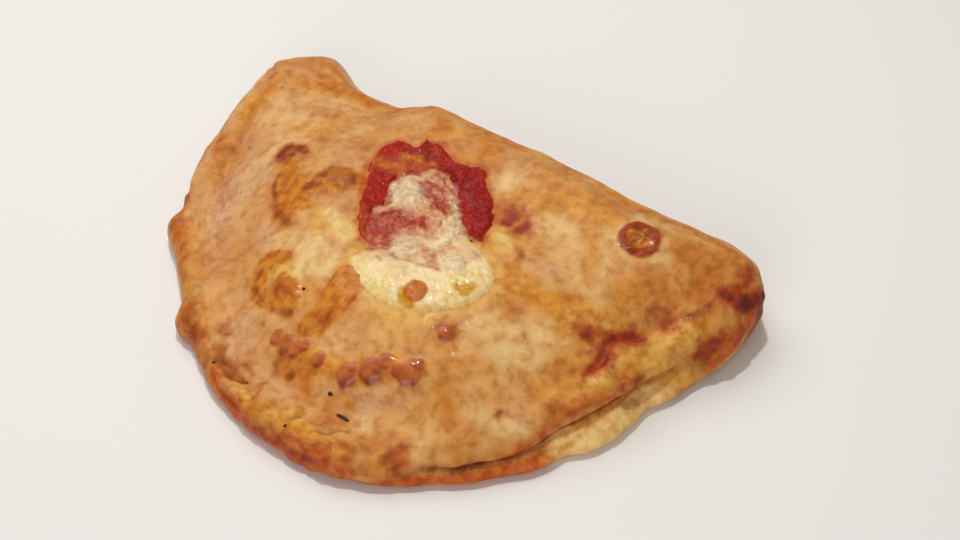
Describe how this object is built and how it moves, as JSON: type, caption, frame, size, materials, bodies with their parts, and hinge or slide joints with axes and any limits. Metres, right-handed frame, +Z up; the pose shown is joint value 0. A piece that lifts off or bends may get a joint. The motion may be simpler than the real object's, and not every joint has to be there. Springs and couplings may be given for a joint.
{
  "type": "calzone",
  "caption": "baked calzone: a half moon of folded pizza dough with a thick rounded fold, a pressed rim, and tomato sauce and melted cheese on top",
  "frame": {"origin": "on the table under the middle of the outline's box", "axes": "+X along the folded edge, +Y towards the folded edge, +Z up"},
  "size_m": [0.2363, 0.1678, 0.0442],
  "materials": {
    "crust": "baked dough, satin where oil has run over it",
    "tomato_sauce": "wet",
    "melted_cheese": "soft gloss"
  },
  "bodies": {
    "root": {"crust": "crust", "tomato_sauce": "tomato_sauce", "melted_cheese": "melted_cheese"}
  },
  "joints": []
}
